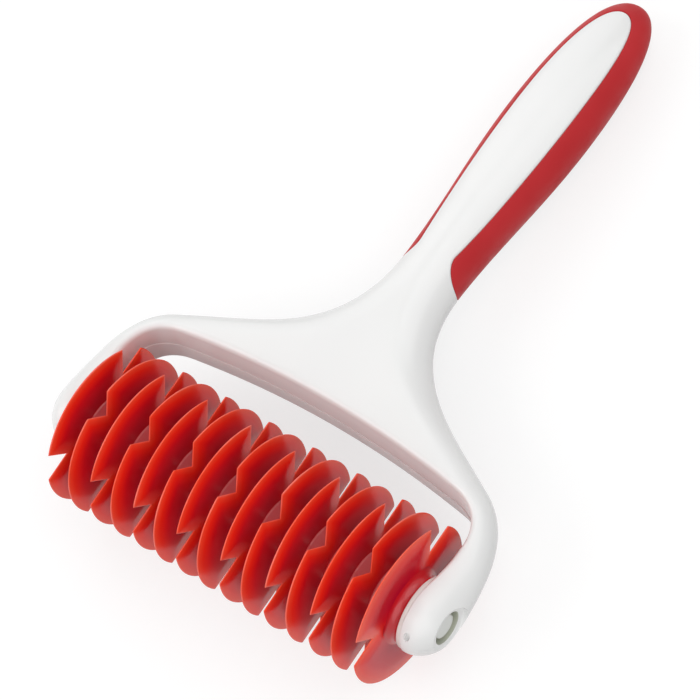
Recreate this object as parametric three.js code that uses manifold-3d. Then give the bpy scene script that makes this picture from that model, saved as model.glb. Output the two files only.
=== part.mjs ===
// Lattice roller cutter: notched discs and spacers stacked on a hexagonal axle, which turns in two
// flanged bushes held between the halves of a forked frame with a soft grip band round its handle.
//
// Units are millimetres. The tool is drawn along its own axes: X along the roller axis, Y towards the
// end of the handle, Z up, zero at the middle of the roller axis. At the end it is set down the way it
// lies on a table, on its discs and on the end of its handle, with the origin under the middle of it.
import * as THREE from 'three';
import { mergeVertices } from 'three/addons/utils/BufferGeometryUtils.js';
import Module from 'manifold-3d';

// Cutting discs and the stack they form.
const DISC_COUNT = 15;
const DISC_PITCH = 8;
const DISC_RADIUS = 25;
const DISC_PLATE = 1.6;
const DISC_EDGE = 0.5;
const DISC_BEVEL = 4.5;
const NOTCH_COUNT = 3;
const NOTCH_WIDTH = 9.7;
const NOTCH_DEPTH = 8.5;
const NOTCH_PHASE = 37.8;
const HUB_WALL = 3.3;
const STACK_GAP = 0.3;
const COLLAR_FLARE = 2.4;
const COLLAR_LAND = 0.4;

// Axle, bushes and their fits.
const AXLE_FLATS = 11;
const KEY_CLEARANCE = 0.3;
const JOURNAL_STEP = 0.5;
const JOURNAL_CLEARANCE = 0.3;
const JOURNAL_RECESS = 2.7;
const BUSH_WALL = 1.3;
const BUSH_FIT = 0.3;
const BUSH_RECESS = 3.3;
const FLANGE_MARGIN = 0.3;
const FLANGE_THICKNESS = 1.3;
const RUNNING_GAP = 0.3;
const SEAT_GAP = 0.3;

// Frame: bosses, arms and yoke of the fork, then the neck and the handle.
const BOSS_WALL = 4.9;
const ARM_THICKNESS = 10;
const ARM_TAPER_LENGTH = 17;
const ARM_DROP = 5;
const FORK_CLEARANCE = 12;
const FRONT_SAG = 3.9;
const TOP_FILLET = 2.2;
const BOTTOM_FILLET = 0.8;
const CORNER_REACH = 11.8;
const CORNER_DROP = 13.6;
const SHOULDER_INSET = 5.8;
const SHOULDER_RISE = 2.1;
const SHOULDER_POWER = 2.6;
const YOKE_DEPTH = 53;
const YOKE_FLAT_DEPTH = 21;
const YOKE_HALF_THICKNESS = 9.2;
const YOKE_POWER = 1.8;
const NECK_HALF_WIDTH = 10.3;
const NECK_RISE_LENGTH = 35;
const HANDLE_SWELL_LENGTH = 60;
const HANDLE_END_LENGTH = 48.2;
const HANDLE_HALF_WIDTH = 13.9;
const HANDLE_HALF_THICKNESS = 12.4;
const SPINE_LIFT = 1.6;
const PARTING_GAP = 0.3;
const SHELL_WALL = 2.7;
const CAVITY_START = 12;

// Grip band and the bare panel it leaves on the top and the underside of the handle.
const GRIP_THICKNESS = 2;
const GRIP_GAP = 0.3;
const GRIP_END_WIDTH = 6.9;
const GRIP_SIDE_WIDTH = 4.4;
const GRIP_NECK_WIDTH = 3.9;
const GRIP_WAIST_OFFSET = 5.5;
const GRIP_FRONT_OFFSET = 2.8;
const GRIP_FRONT_OVERLAP = 0.4;

// Small notch on the front of each boss, at the edge beside the bush flange.
const KEY_NOTCH_RADIUS = 1.3;
const KEY_NOTCH_DEPTH = 2.2;
const KEY_NOTCH_ANGLE = 155;

// Facets of the round pieces and steps along the frame.
const DISC_SIDES = 36;
const ROUND_SIDES = 28;
const NOTCH_SIDES = 16;
const FLARE_STEPS = 4;
const SECTION_STEPS = 12;
const END_STEPS = 9;
const SWELL_STEPS = 8;
const NECK_STEPS = 5;
const SHOULDER_STEPS = 7;
const CORNER_STEPS = 6;
const ARM_STEPS = 4;
const BOSS_STEPS = 7;
const EDGE_STEPS = 6;
const PANEL_STEPS = 8;
const PARTING_STEPS = 10;
const OUTLINE_SAMPLES = 24;

// Places that follow from those sizes, on the right-hand side of the tool.
const BORE_CORNER = (AXLE_FLATS / 2 + KEY_CLEARANCE) / Math.cos(Math.PI / 6);
const HUB_RADIUS = BORE_CORNER + HUB_WALL;
const JOURNAL_RADIUS = AXLE_FLATS / 2 - JOURNAL_STEP;
const BUSH_BORE = JOURNAL_RADIUS + JOURNAL_CLEARANCE;
const BUSH_RADIUS = BUSH_BORE + BUSH_WALL;
const BOSS_BORE = BUSH_RADIUS + BUSH_FIT;
const BOSS_RADIUS = BOSS_BORE + BOSS_WALL;
const FLANGE_RADIUS = BOSS_RADIUS - FLANGE_MARGIN;
const STACK_END = (DISC_COUNT - 1) / 2 * DISC_PITCH + DISC_PLATE / 2;
const COLLAR_START = STACK_END + STACK_GAP;
const COLLAR_END = COLLAR_START + COLLAR_FLARE + COLLAR_LAND;
const FLANGE_START = COLLAR_END + RUNNING_GAP;
const FLANGE_END = FLANGE_START + FLANGE_THICKNESS;
const ARM_INNER_X = FLANGE_END + SEAT_GAP;
const ARM_OUTER_X = ARM_INNER_X + ARM_THICKNESS;
const BUSH_END = ARM_OUTER_X - BUSH_RECESS;
const JOURNAL_END = ARM_OUTER_X - JOURNAL_RECESS;
const FRONT_Y = DISC_RADIUS + FORK_CLEARANCE;
const FRONT_HALF = ARM_INNER_X - CORNER_REACH;
const CORNER_TOP_Y = FRONT_Y - FRONT_SAG;
const CORNER_END_Y = CORNER_TOP_Y - CORNER_DROP;
const SHOULDER_END_X = ARM_INNER_X - SHOULDER_INSET;
const SHOULDER_END_Y = FRONT_Y + SHOULDER_RISE;
const NECK_Y = FRONT_Y + YOKE_DEPTH;
const SWELL_Y = NECK_Y + HANDLE_SWELL_LENGTH;
const HANDLE_END_Y = SWELL_Y + HANDLE_END_LENGTH;
const CAVITY_INSET = GRIP_THICKNESS + GRIP_GAP + SHELL_WALL;
const WELL_OUTSIDE = HANDLE_HALF_WIDTH + DISC_RADIUS;

const wasm = await Module();
wasm.setup();

const radians = THREE.MathUtils.degToRad;
const lerp = THREE.MathUtils.lerp;
const range = (count) => Array.from({ length: count + 1 }, (unused, i) => i / count);

// A closed geometry as a solid that can be joined and cut, with its faces pointing out.
function solid(geometry) {
  const bare = new THREE.BufferGeometry();
  bare.setAttribute('position', geometry.getAttribute('position').clone());
  bare.setIndex(geometry.index ? geometry.index.clone() : null);
  const merged = mergeVertices(bare, 1e-4);
  const corners = merged.index.array;
  const kept = [];
  for (let i = 0; i < corners.length; i += 3) {
    const [a, b, c] = [corners[i], corners[i + 1], corners[i + 2]];
    if (a !== b && b !== c && c !== a) kept.push(a, b, c);
  }
  const vertProperties = Float32Array.from(merged.getAttribute('position').array);
  const build = (list) => new wasm.Manifold(
    new wasm.Mesh({ numProp: 3, vertProperties, triVerts: Uint32Array.from(list) }),
  );
  const made = build(kept);
  return made.volume() > 0 ? made : build(kept.reverse());
}

function geometryOf(shape) {
  const mesh = shape.getMesh();
  const geometry = new THREE.BufferGeometry();
  geometry.setAttribute('position', new THREE.BufferAttribute(mesh.vertProperties, 3));
  geometry.setIndex(new THREE.BufferAttribute(mesh.triVerts, 1));
  geometry.computeVertexNormals();
  return geometry;
}

// A profile of [radius, x] points turned round the roller axis.
function turned(profile, sides) {
  const points = profile.map(([radius, x]) => new THREE.Vector2(radius, x));
  return solid(new THREE.LatheGeometry(points, sides).rotateZ(-Math.PI / 2));
}

function rod(radius, from, to) {
  return turned([[0, from], [radius, from], [radius, to], [0, to]], ROUND_SIDES);
}

// A shape drawn in the Y and Z directions and carried along X from one place to another.
function alongX(points, from, to) {
  const shape = new THREE.Shape(points.map(([y, z]) => new THREE.Vector2(y, z)));
  const geometry = new THREE.ExtrudeGeometry(shape, { depth: to - from, bevelEnabled: false });
  const basis = new THREE.Matrix4().makeBasis(
    new THREE.Vector3(0, 1, 0), new THREE.Vector3(0, 0, 1), new THREE.Vector3(1, 0, 0),
  );
  return solid(geometry.applyMatrix4(basis).translate(from, 0, 0));
}

function hexagon(acrossFlats) {
  const corner = acrossFlats / 2 / Math.cos(Math.PI / 6);
  return Array.from({ length: 6 }, (unused, i) => {
    const angle = Math.PI / 3 * i;
    return [corner * Math.cos(angle), corner * Math.sin(angle)];
  });
}

// One disc: a plate bevelled to a cutting edge, with its hexagonal bore and its V notches.
function discShape() {
  const plate = DISC_PLATE / 2;
  const edge = DISC_EDGE / 2;
  const land = DISC_RADIUS - DISC_BEVEL;
  let disc = turned([
    [0, -plate], [land, -plate], [DISC_RADIUS, -edge], [DISC_RADIUS, edge], [land, plate], [0, plate],
  ], DISC_SIDES);
  disc = keyed(disc, -plate, plate);
  const tip = DISC_RADIUS - NOTCH_DEPTH;
  const mouth = Math.sqrt(DISC_RADIUS ** 2 - (NOTCH_WIDTH / 2) ** 2);
  const outside = 2 * mouth - tip;
  const vee = [[tip, 0], [outside, -NOTCH_WIDTH], [outside, NOTCH_WIDTH]];
  for (let n = 0; n < NOTCH_COUNT; n += 1) {
    const turn = 2 * Math.PI / NOTCH_COUNT * n;
    const placed = vee.map(([y, z]) => [
      y * Math.cos(turn) - z * Math.sin(turn), y * Math.sin(turn) + z * Math.cos(turn),
    ]);
    disc = disc.subtract(alongX(placed, -DISC_PLATE, DISC_PLATE));
  }
  return disc;
}

// A round body keyed to the axle by a hexagonal bore from one end to the other.
function keyed(body, from, to) {
  return body.subtract(alongX(hexagon(AXLE_FLATS + 2 * KEY_CLEARANCE), from - DISC_PLATE, to + DISC_PLATE));
}

function spacerShape() {
  const reach = DISC_PITCH / 2 - DISC_PLATE / 2 - STACK_GAP;
  return keyed(rod(HUB_RADIUS, -reach, reach), -reach, reach);
}

// A collar at one end of the stack, flared in a hollow quarter circle towards the last disc.
function collarShape(side) {
  const flare = range(FLARE_STEPS).map((t) => [
    HUB_RADIUS + COLLAR_FLARE * (1 - Math.sin(Math.PI / 2 * t)),
    COLLAR_START + COLLAR_FLARE * (1 - Math.cos(Math.PI / 2 * t)),
  ]);
  const profile = [[0, COLLAR_START], ...flare, [HUB_RADIUS, COLLAR_END], [0, COLLAR_END]];
  const body = turned(profile.map(([radius, x]) => [radius, side * x]), ROUND_SIDES);
  return keyed(body, -COLLAR_END, COLLAR_END);
}

function axleShape() {
  const hexagonal = alongX(hexagon(AXLE_FLATS), -COLLAR_END, COLLAR_END);
  return hexagonal.add(rod(JOURNAL_RADIUS, -JOURNAL_END, JOURNAL_END));
}

// A bush on one side: a flange against the arm and a sleeve through its bore.
function bushShape(side) {
  const profile = [
    [BUSH_BORE, FLANGE_START], [FLANGE_RADIUS, FLANGE_START], [FLANGE_RADIUS, FLANGE_END],
    [BUSH_RADIUS, FLANGE_END], [BUSH_RADIUS, BUSH_END], [BUSH_BORE, BUSH_END], [BUSH_BORE, FLANGE_START],
  ];
  return turned(profile.map(([radius, x]) => [radius, side * x]), ROUND_SIDES);
}

const curve = (...points) => new THREE.CubicBezierCurve(...points.map(([x, y]) => new THREE.Vector2(x, y)));

// The outer edge of the right half of the frame, seen from above, from the handle's end to the boss.
// Each curve starts and ends where the last one leaves off; the shares say how full it is.
const endCurve = curve(
  [0, HANDLE_END_Y], [HANDLE_HALF_WIDTH * 0.73, HANDLE_END_Y],
  [HANDLE_HALF_WIDTH, lerp(SWELL_Y, HANDLE_END_Y, 0.62)], [HANDLE_HALF_WIDTH, SWELL_Y],
);
const swellCurve = curve(
  [HANDLE_HALF_WIDTH, SWELL_Y], [HANDLE_HALF_WIDTH, lerp(NECK_Y, SWELL_Y, 0.62)],
  [NECK_HALF_WIDTH, lerp(NECK_Y, SWELL_Y, 0.38)], [NECK_HALF_WIDTH, NECK_Y],
);
const shoulderCurve = curve(
  [NECK_HALF_WIDTH, NECK_Y], [NECK_HALF_WIDTH, lerp(SHOULDER_END_Y, NECK_Y, 0.4)],
  [lerp(NECK_HALF_WIDTH, SHOULDER_END_X, 0.52), lerp(SHOULDER_END_Y, NECK_Y, 0.23)],
  [SHOULDER_END_X, SHOULDER_END_Y],
);
const armCurve = curve(
  [SHOULDER_END_X, SHOULDER_END_Y],
  [lerp(SHOULDER_END_X, ARM_OUTER_X, 0.68), SHOULDER_END_Y - ARM_DROP],
  [ARM_OUTER_X, SHOULDER_END_Y * 0.52], [ARM_OUTER_X, 0],
);
const bossPoint = (t) => new THREE.Vector2(
  lerp(ARM_INNER_X, ARM_OUTER_X, Math.cos(Math.PI / 2 * t)), -BOSS_RADIUS * Math.sin(Math.PI / 2 * t),
);
const outline = [endCurve, swellCurve, shoulderCurve, armCurve].flatMap(
  (piece) => piece.getPoints(OUTLINE_SAMPLES),
).concat(range(OUTLINE_SAMPLES).map(bossPoint));

// The share of the shoulder that the handle's cross sections cover, and of the arm that faces the corner.
const HANDLE_SHARE = 0.42;
const CORNER_SHARE = 0.55;

function distanceToOutline(x, y) {
  const point = new THREE.Vector3(Math.abs(x), y, 0);
  const line = new THREE.Line3();
  const nearest = new THREE.Vector3();
  let best = Infinity;
  for (let i = 0; i + 1 < outline.length; i += 1) {
    line.start.set(outline[i].x, outline[i].y, 0);
    line.end.set(outline[i + 1].x, outline[i + 1].y, 0);
    line.closestPointToPoint(point, true, nearest);
    best = Math.min(best, nearest.distanceTo(point));
  }
  return best;
}

// A value that runs smoothly through [y, value] stations and is level at each of them.
function eased(y, stations) {
  if (y <= stations[0][0]) return stations[0][1];
  for (let i = 1; i < stations.length; i += 1) {
    const [before, from] = stations[i - 1];
    const [after, to] = stations[i];
    if (y <= after) return lerp(from, to, THREE.MathUtils.smoothstep(y, before, after));
  }
  return stations[stations.length - 1][1];
}

// Half the frame's thickness along its length: flat at the yoke, fuller to both sides, an ellipse at the end.
function halfThickness(y) {
  if (y > SWELL_Y) {
    const share = (y - SWELL_Y) / HANDLE_END_LENGTH;
    return HANDLE_HALF_THICKNESS * Math.sqrt(Math.max(1 - share ** 2, 0));
  }
  return eased(y, [
    [0, BOSS_RADIUS], [ARM_TAPER_LENGTH, YOKE_HALF_THICKNESS],
    [FRONT_Y + YOKE_FLAT_DEPTH, YOKE_HALF_THICKNESS], [NECK_Y + NECK_RISE_LENGTH, HANDLE_HALF_THICKNESS],
  ]);
}

// Height of the frame's middle, where its halves part, over the roller axis.
const spine = (y) => eased(y, [[0, 0], [FRONT_Y, SPINE_LIFT]]);

// How full the rounding of the outer edge is: 2 is an ellipse, more is squarer and less is sharper.
const edgePower = (y) => eased(y, [
  [0, 2], [SHOULDER_END_Y, SHOULDER_POWER], [FRONT_Y + YOKE_FLAT_DEPTH, YOKE_POWER], [NECK_Y, 2],
]);

// Height of the fork's skin over its middle: a dome round each boss, elsewhere rounded to the outer edge.
function rise(x, y) {
  if (y < 0) {
    const outward = (Math.abs(x) - ARM_INNER_X) / (ARM_OUTER_X - ARM_INNER_X);
    return Math.sqrt(Math.max(BOSS_RADIUS ** 2 * (1 - outward ** 2) - y ** 2, 0));
  }
  const inward = Math.min(distanceToOutline(x, y) / NECK_HALF_WIDTH, 1);
  const power = edgePower(y);
  return halfThickness(y) * (1 - (1 - inward) ** power) ** (1 / power);
}

const filletRadius = (side) => (side > 0 ? TOP_FILLET : BOTTOM_FILLET);

// Height that the fillet takes off close to the fork's inner wall; it fades away along the arm.
function filletDrop(distance, y, side) {
  const radius = filletRadius(side) * THREE.MathUtils.smoothstep(y, 0, ARM_TAPER_LENGTH);
  if (distance >= radius) return 0;
  return radius - Math.sqrt(radius ** 2 - (radius - distance) ** 2);
}

// Cross sections of the handle, from its end to the shoulder: [half width, y] for each.
function handleStations() {
  const end = range(END_STEPS).map((t) => endCurve.getPoint(t ** 1.5));
  const swell = range(SWELL_STEPS).slice(1).map((t) => swellCurve.getPoint(t));
  const neck = range(NECK_STEPS).slice(1).map((t) => shoulderCurve.getPoint(t * HANDLE_SHARE));
  return [...end, ...swell, ...neck].map((point) => [point.x, point.y]);
}

const sectionAngles = range(SECTION_STEPS).map((t) => Math.PI * (t - 0.5));

function handleRow([halfWidth, y], side) {
  return sectionAngles.map((angle, i) => {
    const x = halfWidth * Math.sin(angle);
    const ellipse = halfThickness(y) * Math.cos(angle);
    const atEdge = i === 0 || i === SECTION_STEPS;
    const height = y >= NECK_Y ? ellipse : rise(x, y);
    return new THREE.Vector3(x, y, spine(y) + side * (atEdge ? 0 : height));
  });
}

// The fork's inner wall ahead of the yoke, bowed towards the handle.
const wallY = (x) => FRONT_Y - FRONT_SAG * (x / FRONT_HALF) ** 2;

// Lines across the fork, from its inner wall to its outer edge, along the right-hand side.
function forkLines() {
  const [neckWidth] = handleStations().at(-1);
  const corner = curve(
    [FRONT_HALF, CORNER_TOP_Y], [FRONT_HALF + 0.58 * CORNER_REACH, CORNER_TOP_Y - 0.08 * CORNER_DROP],
    [ARM_INNER_X, CORNER_TOP_Y - 0.4 * CORNER_DROP], [ARM_INNER_X, CORNER_END_Y],
  );
  const lines = [];
  for (const t of range(SHOULDER_STEPS).slice(1)) {
    const x = lerp(neckWidth, FRONT_HALF, t);
    const outer = shoulderCurve.getPoint(lerp(HANDLE_SHARE, 1, t));
    lines.push({ inner: new THREE.Vector2(x, wallY(x)), outer });
  }
  for (const t of range(CORNER_STEPS).slice(1)) {
    lines.push({ inner: corner.getPoint(t), outer: armCurve.getPoint(CORNER_SHARE * t) });
  }
  for (const t of range(ARM_STEPS).slice(1)) {
    const inner = new THREE.Vector2(ARM_INNER_X, lerp(CORNER_END_Y, 0, t));
    lines.push({ inner, outer: armCurve.getPoint(lerp(CORNER_SHARE, 1, t)) });
  }
  for (const t of range(BOSS_STEPS).slice(1)) {
    const outer = bossPoint(t);
    lines.push({ inner: new THREE.Vector2(ARM_INNER_X, outer.y), outer });
  }
  return lines;
}

// Points along one line: three over the fillet, then the rest, crowded towards an outer edge.
function forkRow(inner, outer, mirror, side, endsAtEdge, crowded) {
  const length = inner.distanceTo(outer);
  const fillet = Math.min(filletRadius(side) / length, 0.5);
  const spread = (t) => (crowded ? Math.sin(Math.PI / 2 * t) : t);
  const rest = range(EDGE_STEPS).slice(1).map((t) => lerp(fillet, 1, spread(t)));
  const shares = [0, fillet * (1 - Math.SQRT1_2), fillet, ...rest];
  return shares.map((share) => {
    const { x, y } = inner.clone().lerp(outer, share);
    const atEdge = endsAtEdge && share === 1;
    const height = atEdge ? 0 : Math.max(rise(x, y) - filletDrop(share * length, y, side), 0);
    return new THREE.Vector3(mirror * x, y, spine(y) + side * height);
  });
}

function forkRows(side) {
  const lines = forkLines();
  const [neckWidth, neckY] = handleStations().at(-1);
  const right = lines.map(({ inner, outer }) => forkRow(inner, outer, 1, side, true, true));
  const left = lines.map(({ inner, outer }) => forkRow(inner, outer, -1, side, true, true)).reverse();
  const middle = sectionAngles.map((angle, i) => {
    const x = neckWidth * Math.sin(angle);
    const atEdge = i === 0 || i === SECTION_STEPS;
    return forkRow(new THREE.Vector2(x, wallY(x)), new THREE.Vector2(x, neckY), 1, side, atEdge, false);
  });
  return [...left, ...middle, ...right];
}

// The whole frame as one closed skin: handle and fork above and below, and the fork's inner wall.
function frameShape() {
  const positions = [];
  const triangles = [];
  const addSheet = (rows, flip) => {
    const start = positions.length / 3;
    const columns = rows[0].length;
    rows.flat().forEach((point) => positions.push(point.x, point.y, point.z));
    for (let i = 0; i + 1 < rows.length; i += 1) {
      for (let j = 0; j + 1 < columns; j += 1) {
        const a = start + i * columns + j;
        const quad = [a, a + 1, a + columns + 1, a, a + columns + 1, a + columns];
        triangles.push(...(flip ? quad.reverse() : quad));
      }
    }
  };
  const above = forkRows(1);
  const below = forkRows(-1);
  addSheet(handleStations().map((station) => handleRow(station, 1)), true);
  addSheet(handleStations().map((station) => handleRow(station, -1)), false);
  addSheet(above, true);
  addSheet(below, false);
  addSheet(above.map((row, i) => [row[0], below[i][0]]), false);
  const geometry = new THREE.BufferGeometry();
  geometry.setAttribute('position', new THREE.Float32BufferAttribute(positions, 3));
  geometry.setIndex(triangles);
  return solid(geometry);
}

// The handle shrunk evenly inside its own skin, from a little before the neck to its end.
function handleCore(inset, startY) {
  const wide = 1 - inset / HANDLE_HALF_WIDTH;
  const thick = 1 - inset / HANDLE_HALF_THICKNESS;
  const long = 1 - inset / HANDLE_END_LENGTH;
  const stations = handleStations().filter(([, y]) => y > startY);
  const rings = stations.map((station) => {
    const ring = [...handleRow(station, 1), ...handleRow(station, -1).reverse().slice(1, -1)];
    return ring.map(({ x, y, z }) => new THREE.Vector3(
      x * wide, y > SWELL_Y ? lerp(SWELL_Y, y, long) : y, spine(y) + (z - spine(y)) * thick,
    ));
  });
  const positions = rings.flat().flatMap((point) => point.toArray());
  const count = rings[0].length;
  const triangles = [];
  for (let i = 0; i + 1 < rings.length; i += 1) {
    for (let j = 0; j < count; j += 1) {
      const a = i * count + j;
      const b = i * count + (j + 1) % count;
      triangles.push(a, b, b + count, a, b + count, a + count);
    }
  }
  const last = (rings.length - 1) * count;
  for (let j = 1; j + 1 < count; j += 1) triangles.push(last, last + j, last + j + 1);
  const geometry = new THREE.BufferGeometry();
  geometry.setAttribute('position', new THREE.Float32BufferAttribute(positions, 3));
  geometry.setIndex(triangles);
  return solid(geometry);
}

// The bare panel seen from above, as an upright prism that also takes in everything before the band.
function panelPrism(grow) {
  const endY = HANDLE_END_Y - GRIP_END_WIDTH + grow;
  const waistY = NECK_Y + GRIP_WAIST_OFFSET;
  const frontY = NECK_Y - GRIP_FRONT_OFFSET + grow;
  const wide = HANDLE_HALF_WIDTH - GRIP_SIDE_WIDTH + grow;
  const waist = NECK_HALF_WIDTH - GRIP_NECK_WIDTH + grow;
  const frontX = NECK_HALF_WIDTH + GRIP_FRONT_OVERLAP;
  const sideX = ARM_OUTER_X + WELL_OUTSIDE;
  const right = [
    curve([0, endY], [wide * 0.68, endY], [wide, lerp(SWELL_Y, endY, 0.65)], [wide, SWELL_Y]),
    curve([wide, SWELL_Y], [wide, lerp(waistY, SWELL_Y, 0.55)],
      [lerp(waist, wide, 0.32), lerp(waistY, SWELL_Y, 0.15)], [waist, waistY]),
    curve([waist, waistY], [waist * 0.88, lerp(frontY, waistY, 0.55)],
      [frontX * 0.82, lerp(frontY, waistY, 0.1)], [frontX, frontY]),
  ].flatMap((piece) => piece.getPoints(PANEL_STEPS).slice(0, -1));
  const corners = [[frontX, frontY], [sideX, frontY], [sideX, -WELL_OUTSIDE]];
  const half = [...right.map((point) => [point.x, point.y]), ...corners];
  const loop = [...half, ...half.slice(1).reverse().map(([x, y]) => [-x, y])];
  const shape = new THREE.Shape(loop.map(([x, y]) => new THREE.Vector2(x, y)));
  const depth = 2 * WELL_OUTSIDE;
  const geometry = new THREE.ExtrudeGeometry(shape, { depth, bevelEnabled: false });
  return solid(geometry.translate(0, 0, -WELL_OUTSIDE));
}

// Everything above or below the surface in which the frame's halves part.
function halfSpace(side) {
  const from = -BOSS_RADIUS - WELL_OUTSIDE;
  const to = HANDLE_END_Y + WELL_OUTSIDE;
  const bend = range(PARTING_STEPS).map((t) => t * FRONT_Y);
  const edge = [from, ...bend, to].map((y) => [y, spine(y) + side * PARTING_GAP / 2]);
  const far = [[to, side * 2 * WELL_OUTSIDE], [from, side * 2 * WELL_OUTSIDE]];
  const reach = ARM_OUTER_X + WELL_OUTSIDE;
  return alongX([...edge, ...far], -reach, reach);
}

// The small notch beside the bush flange, a short round hole that points at the roller axis.
function keyNotch(mirror) {
  const angle = radians(KEY_NOTCH_ANGLE);
  const length = 2 * KEY_NOTCH_DEPTH;
  const pin = new THREE.CylinderGeometry(KEY_NOTCH_RADIUS, KEY_NOTCH_RADIUS, length, NOTCH_SIDES);
  pin.rotateX(angle).translate(
    mirror * (ARM_INNER_X + KEY_NOTCH_RADIUS / 2),
    BOSS_RADIUS * Math.cos(angle), BOSS_RADIUS * Math.sin(angle),
  );
  return solid(pin);
}

function frameParts() {
  const skin = frameShape();
  const band = skin.subtract(handleCore(GRIP_THICKNESS, FRONT_Y)).subtract(panelPrism(GRIP_GAP / 2));
  const room = new THREE.BoxGeometry(4 * ARM_OUTER_X, 4 * HANDLE_END_Y, 4 * WELL_OUTSIDE);
  const bandRoom = solid(room).subtract(handleCore(GRIP_THICKNESS + GRIP_GAP, FRONT_Y))
    .subtract(panelPrism(-GRIP_GAP / 2));
  const body = skin.subtract(bandRoom)
    .subtract(handleCore(CAVITY_INSET, NECK_Y - CAVITY_START))
    .subtract(rod(BOSS_BORE, -ARM_OUTER_X, ARM_OUTER_X))
    .subtract(keyNotch(1))
    .subtract(keyNotch(-1));
  return { band, upper: body.intersect(halfSpace(1)), lower: body.intersect(halfSpace(-1)) };
}

const finishes = {
  white: { color: 0xf1f1ee, roughness: 0.28, metalness: 0 },
  red: { color: 0xc81e16, roughness: 0.25, metalness: 0 },
  grip: { color: 0xb23238, roughness: 0.55, metalness: 0 },
};

function piece(name, geometry, finish) {
  const mesh = new THREE.Mesh(geometry, new THREE.MeshStandardMaterial(finishes[finish]));
  mesh.name = name;
  return mesh;
}

const numbered = (name, i) => `${name}_${String(i + 1).padStart(2, '0')}`;

function rollerGroup() {
  const roller = new THREE.Group();
  roller.rotation.x = radians(NOTCH_PHASE);
  const disc = geometryOf(discShape());
  const spacer = geometryOf(spacerShape());
  const placeX = (i) => (i - (DISC_COUNT - 1) / 2) * DISC_PITCH;
  for (let i = 0; i < DISC_COUNT; i += 1) {
    const mesh = piece(numbered('cutting_disc', i), disc, 'red');
    mesh.position.x = placeX(i);
    mesh.rotation.x = i % 2 === 0 ? 0 : Math.PI / NOTCH_COUNT;
    roller.add(mesh);
  }
  for (let i = 0; i + 1 < DISC_COUNT; i += 1) {
    const mesh = piece(numbered('spacer', i), spacer, 'red');
    mesh.position.x = placeX(i + 0.5);
    roller.add(mesh);
  }
  roller.add(
    piece('left_collar', geometryOf(collarShape(-1)), 'red'),
    piece('right_collar', geometryOf(collarShape(1)), 'red'),
    piece('axle', geometryOf(axleShape()), 'white'),
  );
  return roller;
}

// The slope at which the tool lies on its discs and on the rounded end of its handle.
function restAngle() {
  let [low, high] = [0, Math.PI / 6];
  for (let i = 0; i < 40; i += 1) {
    const angle = (low + high) / 2;
    const drop = Math.hypot(
      HANDLE_END_LENGTH * Math.sin(angle), HANDLE_HALF_THICKNESS * Math.cos(angle),
    );
    const lowest = SPINE_LIFT * Math.cos(angle) - SWELL_Y * Math.sin(angle) - drop + DISC_RADIUS;
    if (lowest > 0) low = angle;
    else high = angle;
  }
  return low;
}

const frame = frameParts();
const tool = new THREE.Group();
tool.add(
  rollerGroup(),
  piece('left_bush', geometryOf(bushShape(-1)), 'white'),
  piece('right_bush', geometryOf(bushShape(1)), 'white'),
  piece('upper_shell', geometryOf(frame.upper), 'white'),
  piece('lower_shell', geometryOf(frame.lower), 'white'),
  piece('grip_band', geometryOf(frame.band), 'grip'),
);
tool.rotation.x = -restAngle();

const group = new THREE.Group();
group.add(tool);
group.updateMatrixWorld(true);
const bounds = new THREE.Box3().setFromObject(tool, true);
const middle = bounds.getCenter(new THREE.Vector3());
tool.position.set(-middle.x, -middle.y, -bounds.min.z);

export default group;
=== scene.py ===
# %% [markdown]
# # A lattice roller cutter
# The cutter rolls over a sheet of pastry, and its notched discs leave rows of staggered slits that open
# into a lattice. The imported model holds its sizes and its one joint, the turning roller. In this lesson
# each plain solid is dressed with a smooth, finely shaped skin and a finish of its own.

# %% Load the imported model
import math
import bmesh
import bpy
import numpy as np
from mathutils import Matrix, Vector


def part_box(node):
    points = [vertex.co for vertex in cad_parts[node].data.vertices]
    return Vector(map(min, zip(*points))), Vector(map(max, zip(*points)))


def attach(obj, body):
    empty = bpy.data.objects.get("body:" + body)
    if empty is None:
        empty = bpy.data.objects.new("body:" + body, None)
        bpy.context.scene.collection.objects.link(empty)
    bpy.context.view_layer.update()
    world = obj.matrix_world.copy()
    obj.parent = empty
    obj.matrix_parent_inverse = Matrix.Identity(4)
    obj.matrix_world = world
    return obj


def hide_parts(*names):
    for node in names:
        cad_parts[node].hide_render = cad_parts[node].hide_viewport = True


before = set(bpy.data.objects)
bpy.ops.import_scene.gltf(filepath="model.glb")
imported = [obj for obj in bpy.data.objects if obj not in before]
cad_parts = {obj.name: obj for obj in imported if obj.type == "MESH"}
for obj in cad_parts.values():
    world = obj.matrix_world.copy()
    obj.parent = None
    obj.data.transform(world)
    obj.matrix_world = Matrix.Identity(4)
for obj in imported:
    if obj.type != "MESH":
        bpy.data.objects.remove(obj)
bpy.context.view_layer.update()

# %% [markdown]
# ## From the tool's own axes to the table
# It is easiest to think of the cutter along its own axes: X along the roller, Y towards the end of the
# handle, Z up, in millimetres from the middle of the axle. On the table it lies on its discs and on the
# end of its handle, so it slopes a little. One function turns and moves every point at the end.

# %% Lay the tool down
REST_SLOPE = math.radians(5.16503317)
MILLIMETRE = 0.001
axle_place = sum((np.array(corner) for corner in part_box("axle")), np.zeros(3)) / 2


def slope(points):
    """Turn directions or points about X by the rest slope, so that the handle's end comes down."""
    x, y, z = np.moveaxis(np.asarray(points, float), -1, 0)
    c, s = math.cos(REST_SLOPE), math.sin(REST_SLOPE)
    return np.stack([x, y * c + z * s, z * c - y * s], axis=-1)


def lay_down(points):
    """Millimetres along the tool to metres on the table: slope them, then add the axle's place."""
    return slope(points) * MILLIMETRE + axle_place


print("axle lies at", axle_place.round(5))

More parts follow.
